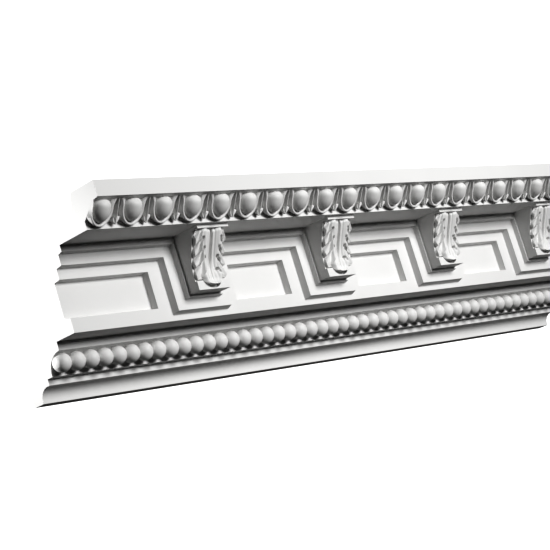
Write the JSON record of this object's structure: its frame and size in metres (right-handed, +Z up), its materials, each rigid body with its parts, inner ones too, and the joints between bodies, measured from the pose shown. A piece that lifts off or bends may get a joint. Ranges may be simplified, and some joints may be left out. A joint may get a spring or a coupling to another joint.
{
  "type": "cornice moulding section",
  "caption": "White modillion cornice moulding with egg-and-dart and bead courses, sunk panels and acanthus modillions, cut square at both ends",
  "frame": {"origin": "centre of the flat face that is glued to the wall, at the foot of the back", "axes": "+X runs along the moulding, +Y points into the wall, +Z points up to the ceiling; the room is on the -Y side"},
  "size_m": [1.02, 0.1885, 0.2],
  "materials": {
    "primed_polyurethane": "smooth factory-primed matt white, ready for paint"
  },
  "bodies": {
    "root": {"cornice_moulding": "primed_polyurethane"}
  },
  "joints": []
}
